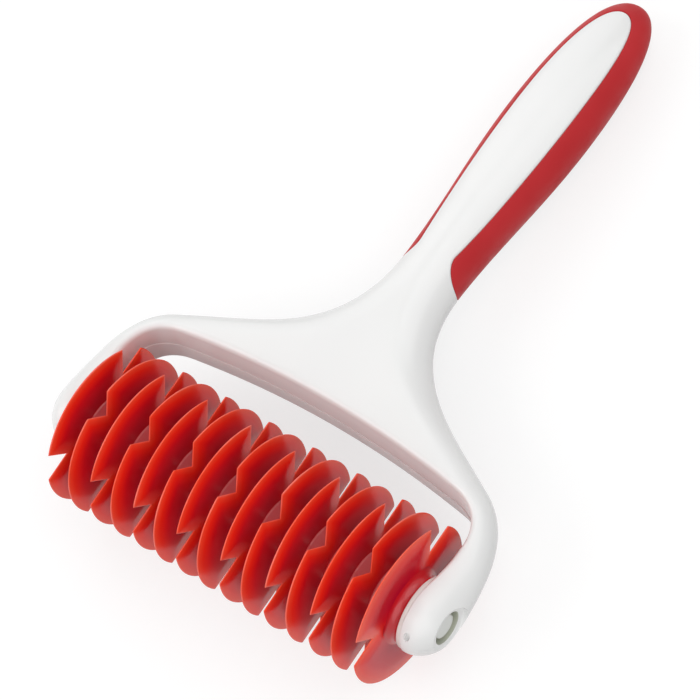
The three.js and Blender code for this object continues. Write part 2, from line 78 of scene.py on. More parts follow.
# %% [markdown]
# ## From grids of points to a piece
# Every piece here is one or more grids of points. Neighbouring points on a grid make a four-sided face,
# and a grid that closes on itself joins its last line to its first. Points that meet at a seam or a pole
# are merged, so each piece is a closed skin, and only edges sharper than a given angle stay crisp.

# %% Join grids into a piece
MERGE_WITHIN, SLIVER_WITHIN = 2e-6, 1e-7


def grid_faces(rows, columns, round_rows, round_columns):
    """Four corners for each cell of a grid, with the last line joined to the first where it goes round."""
    i, j = np.meshgrid(np.arange(rows if round_rows else rows - 1),
                       np.arange(columns if round_columns else columns - 1), indexing="ij")
    k, m = (i + 1) % rows, (j + 1) % columns
    return np.stack([i * columns + j, i * columns + m, k * columns + m, k * columns + j], -1).reshape(-1, 4)


def skin_mesh(name, sheets, edge_distance=None, crease=40):
    """One mesh from (points, round_rows, round_columns) grids: merge doubles, turn faces out, smooth."""
    starts = np.cumsum([0] + [points.shape[0] * points.shape[1] for points, _, _ in sheets])
    faces = [start + grid_faces(*points.shape[:2], rows, columns)
             for start, (points, rows, columns) in zip(starts, sheets)]
    corners = lay_down(np.vstack([points.reshape(-1, 3) for points, _, _ in sheets]))
    mesh = bpy.data.meshes.new(name)
    mesh.from_pydata(corners.tolist(), [], np.vstack(faces).tolist())
    if edge_distance is not None:
        layer = mesh.attributes.new("edge_distance", "FLOAT", "POINT")
        layer.data.foreach_set("value", edge_distance.ravel())
    work = bmesh.new()
    work.from_mesh(mesh)
    bmesh.ops.remove_doubles(work, verts=work.verts, dist=MERGE_WITHIN)
    bmesh.ops.dissolve_degenerate(work, edges=work.edges, dist=SLIVER_WITHIN)
    bmesh.ops.recalc_face_normals(work, faces=work.faces)
    work.to_mesh(mesh)
    work.free()
    mesh.shade_smooth()
    mesh.set_sharp_from_angle(angle=math.radians(crease))
    return mesh


def add_object(mesh):
    """An object at the origin, unturned and unscaled, for a mesh that already holds its place."""
    thing = bpy.data.objects.new(mesh.name, mesh)
    bpy.context.scene.collection.objects.link(thing)
    return thing


def dress(mesh, node, body, finish):
    """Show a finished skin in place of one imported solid, on that solid's body."""
    thing = add_object(mesh)
    mesh.materials.clear()
    mesh.materials.append(finish)
    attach(thing, body)
    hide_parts(node)


print("grid of 3 by 4 points has", len(grid_faces(3, 4, False, False)), "faces")

# %% [markdown]
# ## Finishes
# All the parts are moulded plastic. A moulding is never quite even: its colour drifts a little where the
# melt flowed, its gloss varies with the polish of the mould, and its skin is very slightly rippled. Three
# noises at those scales go to the colour, the roughness and the bump of one shader. They read Object
# coordinates, in metres, so they stay on the piece when the roller turns.

# %% Helpers for moulded plastic
NOISE_LOW, NOISE_HIGH = 0.2, 0.8


def node(tree, kind, inputs=(), **settings):
    """Add a shader node, set its properties, and fill its named inputs with values or other outputs."""
    made = tree.nodes.new(kind)
    for key, value in settings.items():
        setattr(made, key, value)
    for key, value in dict(inputs).items():
        if isinstance(value, bpy.types.NodeSocket):
            tree.links.new(value, made.inputs[key])
        else:
            made.inputs[key].default_value = value
    return made


def noise(tree, place, scale, detail):
    """A grey noise from 0 to 1 over the given coordinates; its scale is in waves per metre."""
    return node(tree, "ShaderNodeTexNoise", {"Vector": place, "Scale": scale, "Detail": detail}).outputs[0]


def moulded(name, flow, gloss, ripple, rough, bump, colours):
    """Plastic finish from three noises, in waves per metre: colours(tree, flow) returns the colour's
    output, gloss runs over the roughness range rough, and ripple gives a bump of (strength, distance)."""
    finish = bpy.data.materials.new(name)
    finish.use_nodes = True
    tree = finish.node_tree
    shader = tree.nodes["Principled BSDF"]
    place = node(tree, "ShaderNodeTexCoord").outputs["Object"]
    tree.links.new(colours(tree, noise(tree, place, flow, 1.0)), shader.inputs["Base Color"])
    polish = node(tree, "ShaderNodeMapRange", {"Value": noise(tree, place, gloss, 1.0),
                                               "From Min": NOISE_LOW, "From Max": NOISE_HIGH,
                                               "To Min": rough[0], "To Max": rough[1]},
                  interpolation_type="SMOOTHSTEP")
    tree.links.new(polish.outputs[0], shader.inputs["Roughness"])
    relief = node(tree, "ShaderNodeBump", {"Height": noise(tree, place, ripple, 2.0),
                                           "Strength": bump[0], "Distance": bump[1]})
    tree.links.new(relief.outputs["Normal"], shader.inputs["Normal"])
    return finish, shader


def graded(tree, share, stops, blend="LINEAR"):
    """Colour that runs through (share, colour) stops."""
    ramp = node(tree, "ShaderNodeValToRGB", {"Fac": share})
    ramp.color_ramp.interpolation = blend
    while len(ramp.color_ramp.elements) < len(stops):
        ramp.color_ramp.elements.new(0.5)
    for element, (place, colour) in zip(ramp.color_ramp.elements, stops):
        element.position, element.color = place, (*colour, 1)
    return ramp.outputs["Color"]


def drifting(low, high):
    """Colour that drifts between two shades as the flow noise goes from dark to light."""
    def colours(tree, flow):
        return graded(tree, flow, [(NOISE_LOW, low), (NOISE_HIGH, high)], "EASE")
    return colours


print("finish helpers ready")

# %% [markdown]
# ### White frame and white bearings
# The frame is a hard, glossy white plastic, a touch warm. The axle and the bushes are the natural white
# of a slippery bearing plastic: a little greyer, greener and duller. A bush is painted palest at its thin
# flange and a shaded olive along the sleeve: painted shade for the dark of the arm that the sleeve sits in.

# %% White plastics
NATURAL = dict(flow=90, gloss=160, ripple=900, rough=(0.3, 0.42), bump=(0.08, 0.0002))
PALE_TO, OLIVE_FROM, OLIVE_SHARE = 0.062, 0.063, 0.8


def painted_sleeve_shade(tree, flow):
    """Painted shade: pale up to the outside of the flange, then a shaded olive from 1 mm further out, in
    metres from the middle.
    """
    place = node(tree, "ShaderNodeTexCoord").outputs["Object"]
    across = node(tree, "ShaderNodeSeparateXYZ", {"Vector": place}).outputs["X"]
    reach = node(tree, "ShaderNodeMath", {0: across}, operation="ABSOLUTE").outputs[0]
    depth = node(tree, "ShaderNodeMapRange", {"Value": reach, "From Min": PALE_TO, "From Max": OLIVE_FROM,
                                              "To Max": OLIVE_SHARE}).outputs[0]
    share = node(tree, "ShaderNodeMath", {0: flow, 1: 1 - OLIVE_SHARE, 2: depth},
                 operation="MULTIPLY_ADD").outputs[0]
    # Pale stops for the flange, then olive stops: painted shade on the sleeve inside the arm.
    return graded(tree, share, [(0.0, (0.79, 0.81, 0.775)), (1 - OLIVE_SHARE, (0.83, 0.85, 0.815)),
                                (OLIVE_SHARE, (0.46, 0.475, 0.39)), (1.0, (0.50, 0.515, 0.425))])


frame_white, _ = moulded("frame_gloss", flow=35, gloss=60, ripple=420, rough=(0.2, 0.26),
                         bump=(0.02, 0.0001),
                         colours=drifting((0.855, 0.857, 0.852), (0.875, 0.875, 0.868)))
bearing_white, _ = moulded("bearing_natural", **NATURAL,
                           colours=drifting((0.725, 0.74, 0.71), (0.76, 0.775, 0.745)))
bush_white, _ = moulded("bush_with_painted_shade", **NATURAL, colours=painted_sleeve_shade)
print("finishes:", frame_white.name, bearing_white.name, bush_white.name)

# %% [markdown]
# ### Crimson grip
# The grip is a soft rubbery plastic moulded over the handle. It is satin, not shiny, and its skin has a
# fine dry grain, which the bump gives at about a third of a millimetre.

# %% Grip rubber
grip_red, grip_shader = moulded("grip_satin", flow=50, gloss=200, ripple=2600, rough=(0.42, 0.54),
                                bump=(0.16, 0.00012),
                                colours=drifting((0.495, 0.022, 0.027), (0.545, 0.028, 0.033)))
grip_shader.inputs["Specular IOR Level"].default_value = 0.18
print("finish:", grip_red.name)

# %% [markdown]
# ### Red of the discs
# The discs are a clear red that lets some light through. Where they are thin, at the rim and along the
# notches, they glow orange, and towards the hub, in the shade between the discs, they deepen to crimson.
# The real cause is light inside the plastic and that shade; here both are painted into the colour. Each disc
# carries the distance to its nearest edge, in millimetres, as an attribute, and a colour ramp turns that
# distance into a painted highlight on the edge, a painted orange glow and painted shade in crimson. The
# thick collars are one even red. The spacers get light through the discs on both sides, and that light is
# painted into their colour, which is paler and milkier.

# %% Disc red
RED_MELT = dict(flow=70, gloss=90, ripple=520, bump=(0.04, 0.0002))
FLOW_WAVER, CRIMSON_AT = 1.6, 12.8


def painted_glow_and_shade(tree, flow):
    """Painted highlight at the edge, painted orange glow where thin, then painted shade to crimson over some
    millimetres, wavering with the flow.
    """
    edge = node(tree, "ShaderNodeAttribute", attribute_name="edge_distance").outputs["Fac"]
    waver = node(tree, "ShaderNodeMath", {0: flow, 1: FLOW_WAVER}, operation="MULTIPLY").outputs[0]
    along = node(tree, "ShaderNodeMath", {0: edge, 1: waver}, operation="ADD").outputs[0]
    share = node(tree, "ShaderNodeMath", {0: along, 1: CRIMSON_AT}, operation="DIVIDE").outputs[0]
    # Stops: painted highlight on the edge, painted orange glow, then painted shade deepening to crimson.
    return graded(tree, share, [(0.0, (0.95, 0.22, 0.17)), (0.085, (0.92, 0.075, 0.03)),
                                (0.25, (0.84, 0.022, 0.009)), (0.5, (0.64, 0.007, 0.018)),
                                (1.0, (0.48, 0.005, 0.027))])


disc_red, disc_shader = moulded("disc_red", **RED_MELT, rough=(0.19, 0.26), colours=painted_glow_and_shade)
hub_red, _ = moulded("hub_red", **RED_MELT, rough=(0.19, 0.26),
                     colours=drifting((0.52, 0.008, 0.018), (0.60, 0.012, 0.02)))
# The spacers' paler, milkier red is painted light: the light that reaches them through the discs.
spacer_red_painted_light, tube_shader = moulded("spacer_red_painted_light", **RED_MELT, rough=(0.12, 0.18),
                                colours=drifting((0.66, 0.10, 0.11), (0.74, 0.12, 0.125)))
disc_shader.inputs["Specular IOR Level"].default_value = 0.32
tube_shader.inputs["Specular IOR Level"].default_value = 0.8
print("finishes:", disc_red.name, hub_red.name, spacer_red_painted_light.name)

# %% [markdown]
# ## Cutting discs
# A disc is a thin plate that narrows to its edge, with three V notches in the rim. It could be cut with
# Booleans, but in polar coordinates it is one grid: at each angle the plate reaches from the bore out to
# the rim or to the side of a notch, and its half thickness grows with the distance to the nearest edge.

# %% Plan of one disc
DISC_COUNT, DISC_PITCH, DISC_RADIUS = 15, 8.0, 25.0
NOTCH_COUNT, NOTCH_WIDTH, NOTCH_DEPTH = 3, 9.7, 8.5
NOTCH_PHASE = math.radians(37.8)
BORE_RADIUS, HUB_RADIUS = 7.0, 10.0
NOTCH_TIP = DISC_RADIUS - NOTCH_DEPTH
MOUTH_ANGLE = math.asin(NOTCH_WIDTH / 2 / DISC_RADIUS)
NOTCH_SLANT = math.atan2(NOTCH_WIDTH / 2, DISC_RADIUS * math.cos(MOUTH_ANGLE) - NOTCH_TIP)

slant_steps = MOUTH_ANGLE * np.linspace(0, 1, 17) ** 1.3
rim_steps = np.linspace(MOUTH_ANGLE, 2 * math.pi / NOTCH_COUNT - MOUTH_ANGLE, 49)[1:-1]
one_notch = np.concatenate([-slant_steps[:0:-1], slant_steps, rim_steps])
disc_angles = (one_notch + 2 * math.pi / NOTCH_COUNT * np.arange(NOTCH_COUNT)[:, None]).ravel()
from_notch = np.abs(np.tile(one_notch, NOTCH_COUNT))
from_notch = np.minimum(from_notch, 2 * math.pi / NOTCH_COUNT - from_notch)
reach = np.where(from_notch < MOUTH_ANGLE,
                 NOTCH_TIP * math.sin(NOTCH_SLANT)
                 / np.sin(NOTCH_SLANT - np.minimum(from_notch, MOUTH_ANGLE)),
                 DISC_RADIUS)
print("disc grid:", len(disc_angles), "angles, reach", reach.min().round(2), "to", reach.max().round(2))

# %% Skin of one disc
EDGE_HALF, PLATE_HALF, EDGE_SLOPE = 0.22, 0.8, 0.115
inward = np.array([0, 0.03, 0.09, 0.18, 0.3, 0.45, 0.7, 1.1, 1.7, 2.6, 3.8, 5.2, 7, 9.5, 12.5, 15.5, 18])


def disc_skin():
    """Polar plate: radius is the reach less a share of the way in; half thickness is a small round at
    the edge plus a steady slope away from it, up to the plate's own. Returns the points, by angle and
    across the rim, and their distances to the nearest edge."""
    radius = reach[:, None] - (reach[:, None] - BORE_RADIUS) * inward / inward[-1]
    u, v = radius * np.cos(from_notch)[:, None], radius * np.sin(from_notch)[:, None]
    along = (u - NOTCH_TIP) * math.cos(NOTCH_SLANT) + v * math.sin(NOTCH_SLANT)
    beside = v * math.cos(NOTCH_SLANT) - (u - NOTCH_TIP) * math.sin(NOTCH_SLANT)
    to_notch = np.where(along < 0, np.hypot(u - NOTCH_TIP, v), beside)
    edge = np.clip(np.minimum(DISC_RADIUS - radius, to_notch), 0, None)
    edge[:, 0] = 0
    round_off = np.sqrt(1 - (1 - np.clip(edge / EDGE_HALF, 0, 1)) ** 2)
    half = round_off * np.minimum(EDGE_HALF + EDGE_SLOPE * edge, PLATE_HALF)
    y, z = radius * np.cos(disc_angles)[:, None], radius * np.sin(disc_angles)[:, None]
    right, left = np.stack([half, y, z], -1), np.stack([-half, y, z], -1)
    skin = np.concatenate([right[:, ::-1], left[:, 1:]], axis=1)
    return skin, np.concatenate([edge[:, ::-1], edge[:, 1:]], axis=1)


def roll(points, angle):
    """Turn points about the roller axis by an angle from Y towards Z."""
    c, s = math.cos(angle), math.sin(angle)
    return points @ np.array([[1, 0, 0], [0, c, s], [0, -s, c]])


plain_disc, disc_edges = disc_skin()
for i in range(DISC_COUNT):
    half_turn = i % 2 * math.pi / NOTCH_COUNT
    placed = roll(plain_disc, NOTCH_PHASE + half_turn) + [(i - (DISC_COUNT - 1) / 2) * DISC_PITCH, 0, 0]
    name = f"cutting_disc_{i + 1:02d}"
    skin = skin_mesh("blade_" + name, [(placed, True, True)], disc_edges)
    dress(skin, name, "roller", disc_red)
print("discs:", DISC_COUNT, "with", plain_disc.shape[0] * plain_disc.shape[1], "points each")

# %% [markdown]
# ## Spacers and collars
# Turned parts are a profile carried round the axle. A spacer is a tube that sits tight between two discs,
# with a small hollow flare at both ends that catches the light. Each collar flares in a larger quarter
# circle until it lies flat on the last disc, so that no crumbs lodge in the corner.

# %% Turned profiles
ROUND_STEPS = 6


def round_corners(corners, radius):
    """Closed outline in which each corner becomes a parabola that starts and ends a radius away from it."""
    p = np.array(corners, float)
    side = [q - p for q in (np.roll(p, 1, 0), np.roll(p, -1, 0))]
    start, end = (p + d * radius / np.linalg.norm(d, axis=1, keepdims=True) for d in side)
    t = np.linspace(0, 1, ROUND_STEPS)[:, None, None]
    return ((1 - t) ** 2 * start + 2 * t * (1 - t) * p + t ** 2 * end).transpose(1, 0, 2).reshape(-1, 2)


def turned(profile, sides=128):
    """Each [x, radius] point of a closed profile goes round the roller axis in a full circle."""
    angle = 2 * math.pi * np.arange(sides)[:, None] / sides
    x, radius = np.asarray(profile, float).T
    return np.stack([x + 0 * angle, radius * np.cos(angle), radius * np.sin(angle)], axis=-1)


WAIST_RADIUS, TIGHT_FIT = 9.5, 0.04
spacer_half = DISC_PITCH / 2 - PLATE_HALF + TIGHT_FIT
sweep = np.linspace(0, math.pi / 2, 17)
hollow = (HUB_RADIUS - WAIST_RADIUS) * np.stack([1 - np.cos(sweep), 1 - np.sin(sweep)], -1)
left_end = hollow + [-spacer_half, WAIST_RADIUS]
right_end = left_end[::-1] * [-1, 1]
spacer = turned(np.vstack([[[-spacer_half, BORE_RADIUS]], left_end, right_end,
                           [[spacer_half, BORE_RADIUS]]]))
for i in range(DISC_COUNT - 1):
    name = f"spacer_{i + 1:02d}"
    placed = spacer + [(i + 1 - DISC_COUNT / 2) * DISC_PITCH, 0, 0]
    dress(skin_mesh("tube_" + name, [(placed, True, True)]), name, "roller", spacer_red_painted_light)
print("spacers:", DISC_COUNT - 1, "each", round(2 * spacer_half, 2), "mm long")

# %% Flared collars
COLLAR_START, COLLAR_END, COLLAR_ROUND, FLARE = 56.76, 59.9, 0.25, 2.6
flare = np.stack([COLLAR_START + FLARE * (1 - np.cos(sweep)), HUB_RADIUS + FLARE * (1 - np.sin(sweep))], -1)
land = round_corners([[COLLAR_START, BORE_RADIUS], [COLLAR_START, HUB_RADIUS],
                      [COLLAR_END, HUB_RADIUS], [COLLAR_END, BORE_RADIUS]], COLLAR_ROUND)
outer_corner = land[2 * ROUND_STEPS:3 * ROUND_STEPS]
collar = np.vstack([[[COLLAR_START, BORE_RADIUS]], flare, outer_corner, [[COLLAR_END, BORE_RADIUS]]])
for name, side in (("left_collar", -1), ("right_collar", 1)):
    skin = skin_mesh("flare_" + name, [(turned(collar) * [side, 1, 1], True, True)])
    dress(skin, name, "roller", hub_red)
print("collar flares from", round(flare[0, 1], 2), "to", round(flare[-1, 1], 2), "mm")

# %% [markdown]
# ## Axle and bushes
# The axle is a hexagon that the discs are keyed to, with a round journal at each end that steps down to a
# stub. Only the end faces show, sunk in the arms, so they get a rounded edge. A bush is a sleeve with a
# flange, which keeps the roller off the arm: the white ring between the red collar and the frame. Its
# sleeve runs out almost to the mouth of the recess, where its end shows as a narrow, dull ring in painted
# olive shade.

# %% Axle
JOURNAL, STUB, STUB_LENGTH, HEXAGON, HEX_END, AXLE_END = 5.0, 3.85, 2.4, 5.5, 59.8, 68.8
rounded_edge = [[0, STUB - 0.4], [0.04, STUB - 0.2], [0.14, STUB - 0.06], [0.3, STUB]]
stations = np.array([[0, 0], [0, 2.0], *rounded_edge, [STUB_LENGTH, STUB], [STUB_LENGTH, JOURNAL],
                     [AXLE_END - HEX_END - 0.1, JOURNAL]])
end_half = stations * [-1, 1] + [AXLE_END, 0]


def axle_skin(sides=120):
    """Circle of each station's radius at the ends; between them a hexagon's flat distance over a cosine."""
    angle = 2 * math.pi * np.arange(sides) / sides
    corner = HEXAGON / np.cos(angle % (math.pi / 3) - math.pi / 6)
    x = np.concatenate([-end_half[:, 0], [-HEX_END, HEX_END], end_half[::-1, 0]])
    ends = end_half[:, 1:] + 0 * corner
    radius = np.concatenate([ends, [corner, corner], ends[::-1]])
    return np.stack([x[:, None] + 0 * angle, radius * np.cos(angle), radius * np.sin(angle)], -1)


axle = skin_mesh("keyed_axle", [(roll(axle_skin(), NOTCH_PHASE), False, True)], crease=35)
dress(axle, "axle", "roller", bearing_white)
print("axle is", 2 * AXLE_END, "mm long")

# %% Flanged bushes
FLANGE_START, FLANGE_END, FLANGE_RADIUS = 60.2, 61.7, 11.5
SLEEVE_INSIDE, SLEEVE_OUTSIDE, SLEEVE_END, BUSH_ROUND = 5.3, 6.75, 69.35, 0.3
bush = round_corners([[FLANGE_START, SLEEVE_INSIDE], [FLANGE_START, FLANGE_RADIUS],
                      [FLANGE_END, FLANGE_RADIUS], [FLANGE_END, SLEEVE_OUTSIDE],
                      [SLEEVE_END, SLEEVE_OUTSIDE], [SLEEVE_END, SLEEVE_INSIDE]], BUSH_ROUND)
for name, side in (("left_bush", -1), ("right_bush", 1)):
    skin = skin_mesh("flanged_" + name, [(turned(bush) * [side, 1, 1], True, True)])
    dress(skin, name, "frame", bush_white)
print("bush flange is", 2 * FLANGE_RADIUS, "mm across")

# %% [markdown]
# ## The frame seen from above
# The frame is a fork that runs into a handle, the same on both sides. Its right-hand outline is four
# smooth curves from the handle's end to the arm, and a quarter of an ellipse round the boss that holds
# the axle. The shares in each curve say how full it is.

# %% Outline of the frame
ARM_IN, ARM_OUT, BOSS = 61.8, 71.8, 11.8
FRONT_Y, FRONT_HALF, FRONT_SAG = 37.0, 50.0, 3.9
SHOULDER = (56.0, 39.1)
NECK_HALF, NECK_Y, SWELL_HALF, SWELL_Y, END_Y = 10.3, 90.0, 13.9, 150.0, 198.2


def mix(a, b, share):
    """The value that lies a share of the way from a to b."""
    return a + (b - a) * share


def bezier(points, t):
    """Cubic curve: the four points weighted by (1-t)^3, 3t(1-t)^2, 3t^2(1-t) and t^3."""
    t = np.asarray(t, float)[:, None]
    a, b, c, d = np.array(points, float)
    return (1 - t) ** 3 * a + 3 * t * (1 - t) ** 2 * b + 3 * t ** 2 * (1 - t) * c + t ** 3 * d


END_CURVE = [(0, END_Y), (SWELL_HALF * 0.73, END_Y),
             (SWELL_HALF, mix(SWELL_Y, END_Y, 0.62)), (SWELL_HALF, SWELL_Y)]
SWELL_CURVE = [(SWELL_HALF, SWELL_Y), (SWELL_HALF, mix(NECK_Y, SWELL_Y, 0.62)),
               (NECK_HALF, mix(NECK_Y, SWELL_Y, 0.38)), (NECK_HALF, NECK_Y)]
SHOULDER_CURVE = [(NECK_HALF, NECK_Y), (NECK_HALF, mix(SHOULDER[1], NECK_Y, 0.4)),
                  (mix(NECK_HALF, SHOULDER[0], 0.52), mix(SHOULDER[1], NECK_Y, 0.23)), SHOULDER]
ARM_CURVE = [SHOULDER, (mix(SHOULDER[0], ARM_OUT, 0.68), SHOULDER[1] - 5),
             (ARM_OUT, SHOULDER[1] * 0.52), (ARM_OUT, 0)]


def boss_edge(t):
    """Quarter ellipse round the boss, from the arm's outside to its front at the inner face."""
    return np.stack([mix(ARM_IN, ARM_OUT, np.cos(math.pi / 2 * t)), -BOSS * np.sin(math.pi / 2 * t)], -1)


fine = np.linspace(0, 1, 61)
handle_side = np.vstack([bezier(END_CURVE, fine), bezier(SWELL_CURVE, fine)[1:],
                         bezier(SHOULDER_CURVE, fine)[1:]])
outline = np.vstack([handle_side, bezier(ARM_CURVE, fine)[1:], boss_edge(fine)[1:]])
print("outline:", len(outline), "points, widest", outline[:, 0].max(), "longest", outline[:, 1].max())

# %% [markdown]
# ## The height of its skin
# Seen from the side the frame is thick at the bosses, flat at the yoke and full at the handle. Its skin
# is a height over the middle surface, where the two halves of the moulding part. Near the outer edge it
# rounds down to nothing, on the handle its sections are ellipses, and each boss is a dome.

# %% Height over the parting surface
ARM_TOP_Y, YOKE_BACK_Y, HANDLE_Y = 17, 58, 125
YOKE_HALF, HANDLE_HALF, SPINE_RISE = 9.2, 12.4, 1.6


def ease(y, *stations):
    """Run through (y, value) stations, smooth and level at each: 3t^2 - 2t^3 between neighbours."""
    places, values = np.array(stations, float).T
    i = np.clip(np.searchsorted(places, y, side="right") - 1, 0, len(places) - 2)
    t = np.clip((y - places[i]) / (places[i + 1] - places[i]), 0, 1)
    return mix(values[i], values[i + 1], t * t * (3 - 2 * t))


def half_thickness(y):
    """Eased along the frame, then a quarter ellipse over the handle's end."""
    end = np.clip((y - SWELL_Y) / (END_Y - SWELL_Y), 0, 1)
    along = ease(y, (0, BOSS), (ARM_TOP_Y, YOKE_HALF), (YOKE_BACK_Y, YOKE_HALF), (HANDLE_Y, HANDLE_HALF))
    return along * np.sqrt(1 - end ** 2)


def spine(y):
    """Height of the parting surface: level with the axle at the arms, a little higher at the yoke."""
    return ease(y, (0, 0), (FRONT_Y, SPINE_RISE))


def half_width(y):
    """Half width of the handle and the neck, read off the outline."""
    return np.interp(y, handle_side[::-1, 1], handle_side[::-1, 0])


def distance_to(path, x, y):
    """Shortest distance to a line of points: drop each place on every segment at once, keep the nearest."""
    a, d = path[:-1], np.diff(path, axis=0)
    px, py = x[..., None] - a[:, 0], y[..., None] - a[:, 1]
    t = np.clip((px * d[:, 0] + py * d[:, 1]) / (d ** 2).sum(1), 0, 1)
    return np.sqrt(((px - t * d[:, 0]) ** 2 + (py - t * d[:, 1]) ** 2).min(-1))


def skin_height(x, y):
    """Dome at the boss; elsewhere the half thickness times a rounded edge, or an ellipse on the handle."""
    x = np.abs(x)
    outward = (x - ARM_IN) / (ARM_OUT - ARM_IN)
    dome = np.sqrt(np.clip(BOSS ** 2 * (1 - outward ** 2) - y ** 2, 0, None))
    rounding = ease(y, (0, ARM_OUT - ARM_IN), (SHOULDER[1], NECK_HALF))
    inside = np.clip(distance_to(outline, x, y) / rounding, 0, 1)
    power = ease(y, (0, 2), (SHOULDER[1], 2.6), (YOKE_BACK_Y, 1.8), (NECK_Y, 2))
    edge = half_thickness(y) * (1 - (1 - inside) ** power) ** (1 / power)
    barrel = half_thickness(y) * np.sqrt(np.clip(1 - (x / np.maximum(half_width(y), 1e-6)) ** 2, 0, None))
    return np.where(y < 0, dome, np.where(y < NECK_Y, edge, barrel))


print("thickness at boss, yoke, handle:", (2 * half_thickness(np.array([0, 50, 140.0]))).round(1))

# %% [markdown]
# ## Lines across the fork
# The fork's plan is filled with lines from its inner wall to its outer edge: over the yoke, round the
# inner corner, down the arm and over the boss. Each line has points crowded at both ends, because that is
# where the skin bends most. The left side is the same, mirrored.

# %% Fork lines
CORNER_END_Y = 19.5
CORNER_TOP = FRONT_Y - FRONT_SAG
CORNER_CURVE = [(FRONT_HALF, CORNER_TOP),
                (FRONT_HALF + 0.58 * (ARM_IN - FRONT_HALF), mix(CORNER_TOP, CORNER_END_Y, 0.08)),
                (ARM_IN, mix(CORNER_TOP, CORNER_END_Y, 0.4)), (ARM_IN, CORNER_END_Y)]
NECK_SHARE, CORNER_SHARE = 0.42, 0.55
YOKE_LINES, CORNER_LINES, ARM_LINES, BOSS_LINES = 60, 40, 26, 36
neck_x, neck_y = bezier(SHOULDER_CURVE, [NECK_SHARE])[0]


def wall_y(x):
    """Front wall of the yoke, bowed towards the handle as a parabola."""
    return FRONT_Y - FRONT_SAG * (x / FRONT_HALF) ** 2


def steps(count):
    """Even shares from 0 to 1 without the 0."""
    return np.linspace(0, 1, count + 1)[1:]


x_yoke = mix(neck_x, FRONT_HALF, steps(YOKE_LINES))
down_arm = steps(ARM_LINES)
inner = np.vstack([np.stack([x_yoke, wall_y(x_yoke)], -1), bezier(CORNER_CURVE, steps(CORNER_LINES)),
                   np.stack([ARM_IN + 0 * down_arm, CORNER_END_Y * (1 - down_arm)], -1),
                   boss_edge(steps(BOSS_LINES)) * [0, 1] + [ARM_IN, 0]])
outer = np.vstack([bezier(SHOULDER_CURVE, mix(NECK_SHARE, 1, steps(YOKE_LINES))),
                   bezier(ARM_CURVE, CORNER_SHARE * steps(CORNER_LINES)),
                   bezier(ARM_CURVE, mix(CORNER_SHARE, 1, down_arm)), boss_edge(steps(BOSS_LINES))])
section = math.pi * np.linspace(-0.5, 0.5, 57)
x_mid = neck_x * np.sin(section)
inner_all = np.vstack([inner[::-1] * [-1, 1], np.stack([x_mid, wall_y(x_mid)], -1), inner])
outer_all = np.vstack([outer[::-1] * [-1, 1], np.stack([x_mid, 0 * x_mid + neck_y], -1), outer])
crowding = np.concatenate([np.ones(len(inner)), np.abs(np.sin(section)) ** 4, np.ones(len(inner))])[:, None]
print("fork lines:", len(inner_all))

# %% [markdown]
# ## The bare panel
# The grip band leaves a long white panel bare on the top and on the underside of the handle. Its edge is
# three curves: a flick out to the side at the front, a slow swell, and a round end. Where the band and
# the shell meet, both edges are rounded over, which leaves the fine seam of a two-shot moulding.

# %% Edge of the panel
PANEL_END_Y, PANEL_WAIST_Y, PANEL_FRONT_Y = END_Y - 6.9, NECK_Y + 5.5, NECK_Y - 2.8
PANEL_HALF, PANEL_WAIST, PANEL_FRONT_X = SWELL_HALF - 4.4, NECK_HALF - 3.9, NECK_HALF + 0.4
SEAM_HALF, SEAM_ROUND = 0.07, 0.4
END_STEPS = 60


def panel_edge(grow):
    """Right-hand edge of the panel from where it leaves the frame's side to its tip, moved out by grow."""
    end_y, front_y = PANEL_END_Y + grow, PANEL_FRONT_Y + grow
    wide, waist = PANEL_HALF + grow, PANEL_WAIST + grow
    flick = [(PANEL_FRONT_X, front_y), (PANEL_FRONT_X * 0.82, mix(front_y, PANEL_WAIST_Y, 0.1)),
             (waist * 0.88, mix(front_y, PANEL_WAIST_Y, 0.55)), (waist, PANEL_WAIST_Y)]
    swell = [(waist, PANEL_WAIST_Y), (mix(waist, wide, 0.32), mix(PANEL_WAIST_Y, SWELL_Y, 0.15)),
             (wide, mix(PANEL_WAIST_Y, SWELL_Y, 0.55)), (wide, SWELL_Y)]
    tip = [(wide, SWELL_Y), (wide, mix(SWELL_Y, end_y, 0.65)), (wide * 0.68, end_y), (0, end_y)]
    edge = np.vstack([bezier(flick, np.linspace(0, 1, 41)), bezier(swell, steps(50)),
                      bezier(tip, steps(END_STEPS))])
    over = edge[:, 0] - half_width(edge[:, 1])
    k = np.argmax(over < 0)
    start = mix(edge[k - 1], edge[k], over[k - 1] / (over[k - 1] - over[k]))
    start[0] = half_width(start[1])
    return np.vstack([start, edge[k:]])


def round_over(distance, radius):
    """Depth that a quarter round takes off at a distance from an edge, and nothing past its radius."""
    inside = np.clip(radius - distance, 0, radius)
    return radius - np.sqrt(np.maximum(radius ** 2 - inside ** 2, 0))


white_edge, band_edge = panel_edge(-SEAM_HALF), panel_edge(SEAM_HALF)
print("panel runs from y =", white_edge[0, 1].round(1), "to", white_edge[-1, 1].round(1))

# %% [markdown]
# ## Upper and lower shell
# Each half of the frame is a closed skin: the outside, a flat floor at the parting surface, and the wall
# in front of the yoke that joins them. The mould's draft leans that wall out towards the parting. There
# the lower half stands a little proud, and the small chamfer on its edge is the fine light line that runs
# along the front of the real frame.

# %% Sheets of one shell
PARTING_HALF, WALL_DRAFT = 0.04, 0.6
DRAFT_FADE, STEP_FADE = [(26, 0), (33, 1)], [(ARM_TOP_Y, 0), (24, 1)]
CHAMFER_FADE, FILLET_FADE = [(-9, 0), (-3, 1)], [(0, 0), (ARM_TOP_Y, 1)]
NECK_ROWS = 39


def lifted(plan, height, side):
    """Points at plan places [x, y], a height above (side 1) or below (side -1) the parting surface."""
    return np.concatenate([plan, (spine(plan[..., 1]) + side * (height + PARTING_HALF))[..., None]], -1)


